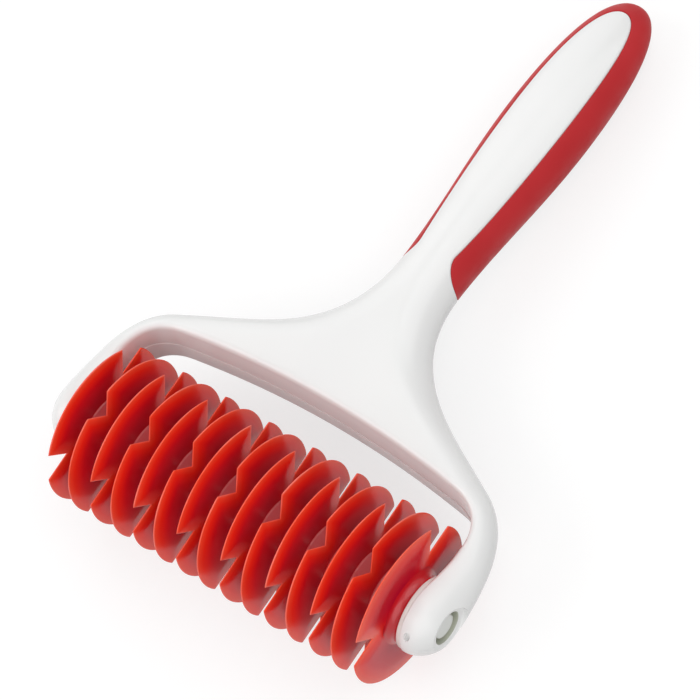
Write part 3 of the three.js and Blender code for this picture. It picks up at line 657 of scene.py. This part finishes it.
def fork_sheets(side, fillet, bevel, step):
    """Outside, floor and front wall of the fork: a fillet along the wall, a draft that leans the yoke's
    wall out to the parting, a step out there and a bevel on the edge. Each fades out down the arm."""
    length = np.linalg.norm(outer_all - inner_all, axis=1)[:, None]
    near = np.minimum(fillet / np.maximum(length, 1e-9), 0.5)
    even = np.linspace(0, 1, 33)[1:]
    spread = mix(even, np.sin(math.pi / 2 * even), crowding)
    share = np.hstack([near * (1 - np.cos(math.pi / 2 * np.linspace(0, 1, 8))), mix(near, 1, spread)])
    plan = mix(inner_all[:, None], outer_all[:, None], share[..., None])
    fading = fillet * ease(plan[..., 1], *FILLET_FADE)
    height = skin_height(plan[..., 0], plan[..., 1]) - round_over(share * length, fading)
    sides = np.isclose(np.abs(section), math.pi / 2)
    at_edge = np.concatenate([np.ones(len(inner)), sides, np.ones(len(inner))]) > 0
    height[at_edge, -1] = 0
    height = np.clip(height, 0, None)
    chamfer = bevel * ease(inner_all[:, 1], *CHAMFER_FADE)
    draft = WALL_DRAFT * ease(inner_all[:, 1], *DRAFT_FADE) + step * ease(inner_all[:, 1], *STEP_FADE)
    proud = mix(inner_all, outer_all, -draft[:, None] / np.maximum(length, 1))
    floor_plan = plan.copy()
    floor_plan[:, 0] = mix(inner_all, outer_all, (chamfer - draft)[:, None] / np.maximum(length, 1))
    wall = np.stack([lifted(plan[:, 0], height[:, 0], side), lifted(proud, chamfer, side),
                     lifted(floor_plan[:, 0], 0 * chamfer, side)], axis=1)
    return [lifted(plan, height, side), lifted(floor_plan, 0 * height, side), wall]


def handle_sheets(side):
    """Outside, floor and side walls of the neck and the panel: rows across at each place along them."""
    neck_rows = np.linspace(neck_y, white_edge[0, 1], NECK_ROWS + 1)[:-1]
    edge = np.vstack([np.stack([half_width(neck_rows), neck_rows], -1), white_edge])
    edge[0, 0] = neck_x
    plan = np.stack([edge[:, :1] * np.sin(section), edge[:, 1:] + 0 * section], -1)
    height = skin_height(plan[..., 0], plan[..., 1])
    height[:NECK_ROWS + 1, [0, -1]] = 0
    from_seam = distance_to(white_edge, np.abs(plan[..., 0]), plan[..., 1])
    height = np.clip(height - round_over(from_seam, SEAM_ROUND), 0, None)
    height[:NECK_ROWS + 1, [0, -1]] = 0
    top, floor = lifted(plan, height, side), lifted(plan, 0 * height, side)
    walls = [np.stack([top[:, end], floor[:, end]], axis=1) for end in (0, -1)]
    return [top, floor, *walls]


print("shell rows on the handle:", NECK_ROWS + len(white_edge))

# %% [markdown]
# ### Bores and the small notch
# The axle's recess runs in from the side, and a height over a plan can't hold that, so it is cut with a
# Boolean. The cutting shape is turned: a bore for the bush, a thin rounded lip over the bush's end, and a
# shallow dish outside it. A small oval pit on the front of each boss, beside the flange, is cut the same
# way.

# %% Cutting shapes
BOSS_BORE, LIP_RADIUS, LIP_START, LIP_ROUND = 6.9, 5.3, 69.4, 0.2
DISH_START, DISH_RADIUS, DISH_DEPTH = 69.7, 7.0, 0.5
MOUTH_RADIUS, MOUTH_FLARE = 7.4, 8.0
bush_seat = [[ARM_IN - 1, 0], [ARM_IN - 1, BOSS_BORE], [LIP_START, BOSS_BORE], [LIP_START, LIP_RADIUS]]
lip = np.stack([DISH_START - LIP_ROUND * (1 - np.sin(sweep)),
                LIP_RADIUS + LIP_ROUND * (1 - np.cos(sweep))], -1)
dish = np.stack([DISH_START + DISH_DEPTH * (1 - np.cos(sweep)),
                 mix(LIP_RADIUS + LIP_ROUND, DISH_RADIUS, np.sin(sweep))], -1)
mouth = [[ARM_OUT, MOUTH_RADIUS], [ARM_OUT + 1, MOUTH_FLARE], [ARM_OUT + 1, 0]]
bore_profile = np.vstack([bush_seat, lip, dish[1:], mouth])
PIT_INSET, PIT_HALF_WIDTH, PIT_HALF_LENGTH, PIT_DEPTH = 2.0, 0.9, 1.5, 2.0
PIT_ANGLE = math.radians(149.5)
SHELL_CREASE = 38


def pit_skin(side, count=40):
    """An oval pin that points at the axle: half an oval ball at its tip, then a straight side, closed at
    its outer end."""
    bend = np.linspace(0, math.pi / 2, 9)
    along = np.concatenate([PIT_HALF_WIDTH * (1 - np.cos(bend)), [2 * PIT_DEPTH, 2 * PIT_DEPTH]])
    share = np.concatenate([np.sin(bend), [1, 0]])
    turn = 2 * math.pi * np.arange(count)[:, None] / count
    out = BOSS - PIT_DEPTH + along + 0 * turn
    x = side * (ARM_IN + PIT_INSET + PIT_HALF_WIDTH * share * np.cos(turn))
    across = PIT_HALF_LENGTH * share * np.sin(turn)
    c, s = math.cos(PIT_ANGLE), math.sin(PIT_ANGLE)
    return np.stack([x, out * c - across * s, out * s + across * c], -1)


def cut_away(mesh, cutters):
    """Take closed cutting shapes from a closed mesh with Booleans and return the smoothed result."""
    thing = add_object(mesh)
    tools = [add_object(cutter) for cutter in cutters]
    for tool in tools:
        hole = thing.modifiers.new("hole", "BOOLEAN")
        hole.operation, hole.solver, hole.object = "DIFFERENCE", "MANIFOLD", tool
    view = bpy.context.evaluated_depsgraph_get()
    result = bpy.data.meshes.new_from_object(thing.evaluated_get(view))
    for spare in [thing, *tools]:
        bpy.data.objects.remove(spare, do_unlink=True)
    name = mesh.name
    for spare in [mesh, *cutters]:
        bpy.data.meshes.remove(spare)
    result.name = name
    result.set_sharp_from_angle(angle=math.radians(SHELL_CREASE))
    return result


def frame_cutters():
    """Both bores and both pits, as meshes."""
    shapes = [(turned(bore_profile) * [side, 1, 1], True, False) for side in (-1, 1)]
    shapes += [(pit_skin(side), True, False) for side in (-1, 1)]
    return [skin_mesh(f"cutter_{i}", [shape]) for i, shape in enumerate(shapes)]


print("dish opens from", LIP_RADIUS, "to", dish[-1, 1].round(2), "mm")

# %% Make the two shells
# For each shell: its name, its side, and its fillet, bevel and step in millimetres.
SHELLS = (("upper_shell", 1, 2.2, 0.04, 0), ("lower_shell", -1, 0.8, 0.2, 0.2))
for name, side, fillet, bevel, step in SHELLS:
    sheets = fork_sheets(side, fillet, bevel, step) + handle_sheets(side)
    whole = skin_mesh("moulded_" + name, [(sheet, False, False) for sheet in sheets], crease=SHELL_CREASE)
    shell = cut_away(whole, frame_cutters())
    dress(shell, name, "frame", frame_white)
    print(name, "has", len(shell.polygons), "faces")

# %% [markdown]
# ## Grip band
# The band runs up one side of the handle, round its end and down the other side. It is a profile carried
# along the panel's edge: from the top seam over the widest part of the handle to the bottom seam, then
# back along an inner face two millimetres below. At the front both seams meet on the frame's side.

# %% Band skin
BAND_THICKNESS = 2.0


def band_skin():
    """Plan places run from the panel's edge to the outline; the skin's height gives the top and, mirrored,
    the underside; the inner face is the same skin drawn in towards the handle's middle."""
    tail = len(band_edge) - END_STEPS
    side_rim = np.stack([half_width(band_edge[:tail, 1]), band_edge[:tail, 1]], -1)
    rim = np.vstack([side_rim, bezier(END_CURVE, 1 - steps(END_STEPS))])
    seam = np.vstack([band_edge, band_edge[-2::-1] * [-1, 1]])
    rim = np.vstack([rim, rim[-2::-1] * [-1, 1]])
    share = np.concatenate([[0, 0.012, 0.03, 0.055], np.sin(math.pi / 2 * np.linspace(0.06, 1, 22))])
    plan = mix(seam[:, None], rim[:, None], share[:, None])
    width = np.linalg.norm(rim - seam, axis=1)[:, None]
    height = skin_height(plan[..., 0], plan[..., 1])
    height[:, -1] = 0
    height = np.clip(height - round_over(share * width, np.minimum(SEAM_ROUND, width / 2)), 0, None)
    top = np.concatenate([plan, (spine(plan[..., 1]) + height)[..., None]], -1)
    under = np.concatenate([plan, (spine(plan[..., 1]) - height)[..., None]], -1)[:, -2::-1]
    outside = np.concatenate([top, under], axis=1)
    shrink = 1 - BAND_THICKNESS / np.array([SWELL_HALF, END_Y - SWELL_Y, HANDLE_HALF])
    middle_y = np.minimum(outside[..., 1], SWELL_Y)
    middle = np.stack([0 * middle_y, middle_y, spine(outside[..., 1])], -1)
    inside = middle + (outside - middle) * shrink
    return np.concatenate([outside, inside[:, ::-1]], axis=1)


band = skin_mesh("overmoulded_grip_band", [(band_skin(), False, True)], crease=50)
dress(band, "grip_band", "frame", grip_red)
print("grip band has", len(band.polygons), "faces")

# %% [markdown]
# ## Camera
# The photograph was taken from the right and well above with a long lens. Its place was worked out from
# the notch corners, so it is written down along the tool's axes and laid down with the tool.

# %% Camera
EYE = (427.08259264, -251.4456751, 876.98428281)
AXES = slope([(0.78953016, 0.58518752, -0.18492619), (-0.44445247, 0.75299437, 0.48524374),
              (0.42320696, -0.30092366, 0.8545998)])
IMAGE_WIDTH, FOCAL_PIXELS, SENSOR = 700, 3513.497, 36.0

lens = bpy.data.cameras.new("long_lens")
lens.sensor_width = SENSOR
lens.lens = FOCAL_PIXELS * SENSOR / IMAGE_WIDTH
lens.clip_start, lens.clip_end = 0.05, 20
camera = add_object(lens)
matrix = np.eye(4)
matrix[:3, :3], matrix[:3, 3] = AXES.T, lay_down(EYE)
camera.matrix_world = Matrix(matrix.tolist())
bpy.context.scene.camera = camera
print("lens", round(lens.lens, 1), "mm at", matrix[:3, 3].round(4))

# %% [markdown]
# ## Floor, light and background
# A studio sweep is a white floor with no horizon. The floor here is matt, and for the camera and for
# reflections it glows as well, so that it reads as white while shadows still fall on it. Four large soft
# boxes stand at the corners. The front left one is the strongest, which gives the shading, and the room
# round them is white to look at but lights the tool only weakly.

# %% Floor
FLOOR_HALF, FLOOR_GREY, FLOOR_GLOW = 4.0, 0.36, 0.68


def seen(tree):
    """1 for rays from the camera, off a gloss or through glass, and 0 for light that falls on things."""
    rays = node(tree, "ShaderNodeLightPath").outputs
    either = node(tree, "ShaderNodeMath", {0: rays["Is Camera Ray"], 1: rays["Is Glossy Ray"]},
                  operation="MAXIMUM").outputs[0]
    return node(tree, "ShaderNodeMath", {0: either, 1: rays["Is Transmission Ray"]},
                operation="MAXIMUM").outputs[0]


floor_corners = np.array([[-1, -1, 0], [1, -1, 0], [1, 1, 0], [-1, 1, 0]]) * FLOOR_HALF
floor_mesh = bpy.data.meshes.new("studio_floor")
floor_mesh.from_pydata(floor_corners.tolist(), [], [(0, 1, 2, 3)])
floor = add_object(floor_mesh)
floor_finish = bpy.data.materials.new("studio_white")
floor_finish.use_nodes = True
tree = floor_finish.node_tree
matt = tree.nodes["Principled BSDF"].inputs
matt["Base Color"].default_value = (FLOOR_GREY, FLOOR_GREY, FLOOR_GREY, 1)
matt["Roughness"].default_value = 0.9
matt["Specular IOR Level"].default_value = 0.0
matt["Emission Color"].default_value = (1, 1, 1, 1)
glow = node(tree, "ShaderNodeMath", {0: seen(tree), 1: FLOOR_GLOW}, operation="MULTIPLY").outputs[0]
tree.links.new(glow, matt["Emission Strength"])
floor_mesh.materials.append(floor_finish)
print("floor is", 2 * FLOOR_HALF, "m wide")

# %% Soft boxes and surroundings
BOX_SIZE, ROOM_LIGHT = 1.3, 0.26


def soft_box(name, place, power):
    """A square area lamp that faces the origin."""
    lamp = bpy.data.lights.new(name, "AREA")
    lamp.size, lamp.energy = BOX_SIZE, power
    thing = add_object(lamp)
    back = np.array(place) / np.linalg.norm(place)
    side = np.cross([0, 0, 1.0], back)
    side = side / np.linalg.norm(side)
    turn = np.eye(4)
    turn[:3, 0], turn[:3, 1], turn[:3, 2], turn[:3, 3] = side, np.cross(back, side), back, place
    thing.matrix_world = Matrix(turn.tolist())


soft_box("front_left_box", (-0.765, -0.765, 0.625), 9.0)
soft_box("front_right_box", (0.765, -0.765, 0.625), 7.0)
soft_box("back_right_box", (0.507, 0.507, 1.024), 7.0)
soft_box("back_left_box", (-0.765, 0.765, 0.625), 4.65)

world = bpy.data.worlds.new("white_room")
bpy.context.scene.world = world
world.use_nodes = True
sky = world.node_tree
level = node(sky, "ShaderNodeMapRange", {"Value": seen(sky), "To Min": ROOM_LIGHT, "To Max": 1.0})
sky.nodes["Background"].inputs["Color"].default_value = (1, 1, 1, 1)
sky.links.new(level.outputs[0], sky.nodes["Background"].inputs["Strength"])
bpy.context.scene.view_settings.view_transform = "Standard"
